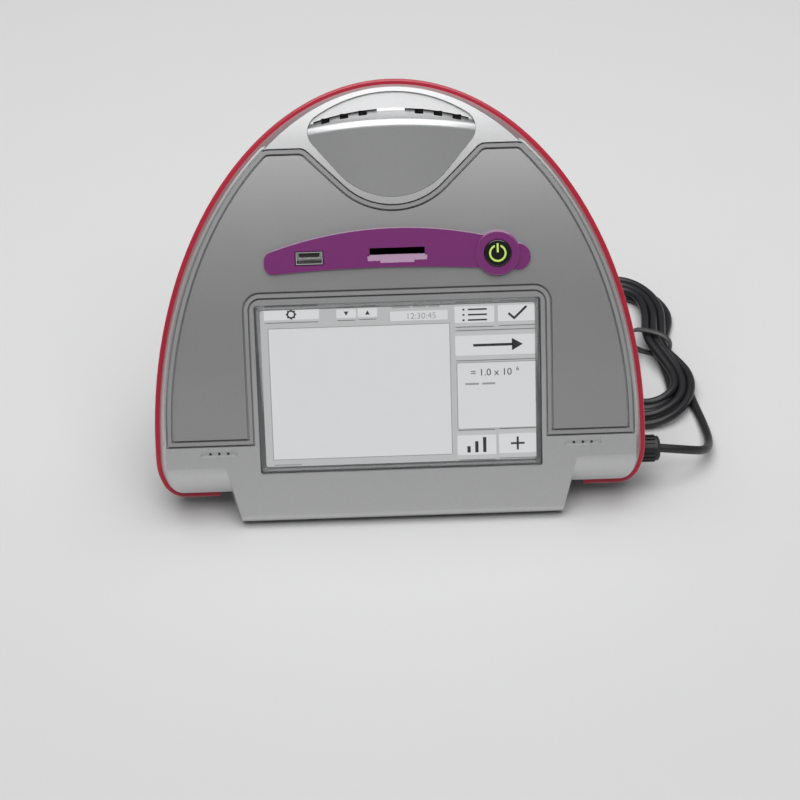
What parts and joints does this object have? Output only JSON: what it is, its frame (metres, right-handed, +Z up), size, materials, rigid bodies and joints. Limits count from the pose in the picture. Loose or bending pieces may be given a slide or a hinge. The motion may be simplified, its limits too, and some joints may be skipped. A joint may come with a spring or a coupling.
{
  "type": "automated cell counter",
  "caption": "Arched bench instrument with a leaning touch screen, a slide slot behind a purple strip, a push button, a vented hood, and a power lead with a ribbed coupling.",
  "frame": {"origin": "on the bench, under the middle of the housing's footprint", "axes": "+X to the right as seen by the user, +Y towards the back, +Z up"},
  "size_m": [0.279, 0.2269, 0.1992],
  "materials": {
    "silver_shell": "satin metallic lacquer",
    "red_trim": "satin",
    "panel_grey": "fine matt",
    "bead_grey": "satin",
    "purple_gloss": "polished",
    "black_gloss": "polished",
    "black_matt": "matt",
    "legend_green": "light guide",
    "screen_glass": "clear",
    "lens_glass": "coated",
    "display": "lit",
    "foam": "matt",
    "rubber": "matt",
    "steel": "bright",
    "sheet_steel": "zinc plated",
    "alloy": "satin",
    "board_green": "lacquered board",
    "lead_black": "satin"
  },
  "bodies": {
    "housing": {"front_shell": "silver_shell", "rear_cover": "silver_shell", "vent_hood": "silver_shell", "trim_ring": "red_trim", "control_panel": "panel_grey", "panel_bead": "bead_grey", "port_escutcheon": "purple_gloss", "button_spring": "steel", "button_switch": "black_matt", "usb_shell": "steel", "usb_tongue": "black_matt", "port_board": "board_green", "touch_glass": "screen_glass", "display_gasket": "foam", "lcd_panel": "display", "display_frame": "sheet_steel", "slide_guide": "black_matt", "carriage_spring": "steel", "optical_chassis": "alloy", "led_board": "board_green", "condenser_lens": "lens_glass", "guide_rods": "steel", "focus_motor": "sheet_steel", "camera_board": "board_green", "main_board": "board_green", "board_chips": "black_matt", "board_standoffs": "sheet_steel", "speakers": "black_matt", "base_plate": "sheet_steel", "rubber_feet": "rubber", "base_screws": "steel", "housing_screws": "steel", "power_socket": "black_matt", "power_plug": "black_matt", "power_cord": "lead_black", "cord_hank": "lead_black", "cable_tie": "black_matt", "end_plug": "black_matt"},
    "button": {"power_button": "black_gloss", "button_legend": "legend_green"},
    "carriage": {"slide_carriage": "black_matt"},
    "screw": {"focus_screw": "steel"},
    "lens": {"lens_tube": "alloy", "objective_lens": "lens_glass"},
    "ring": {"coupling_ring": "black_matt"}
  },
  "joints": [
    {"name": "button_press", "type": "slide", "parent": "housing", "child": "button", "axis": [0, 0.9225, -0.3859], "range_m": [0, 0.0012], "stiffness_N_per_m": 900, "deforming": ["button_spring"]},
    {"name": "carriage_push", "type": "slide", "parent": "housing", "child": "carriage", "axis": [0, 0.9204, -0.3909], "range_m": [0, 0.004], "stiffness_N_per_m": 120, "deforming": ["carriage_spring"]},
    {"name": "focus_spin", "type": "hinge", "parent": "housing", "child": "screw", "pos_m": [0.0134, 0.00209, 0.11541], "axis": [0, 0.3909, 0.9204], "range_deg": [0, 2160]},
    {"name": "lens_lift", "type": "slide", "parent": "housing", "child": "lens", "axis": [0, 0.3909, 0.9204], "range_m": [0, 0.003]},
    {"name": "coupling_turn", "type": "hinge", "parent": "housing", "child": "ring", "pos_m": [0.1216, -0.0385, 0.0186], "axis": [1, 0, 0], "range_deg": [0, 60]}
  ],
  "couplings": [
    {"joint": "focus_spin", "follows": "lens_lift", "rad_per_m": 12566}
  ]
}
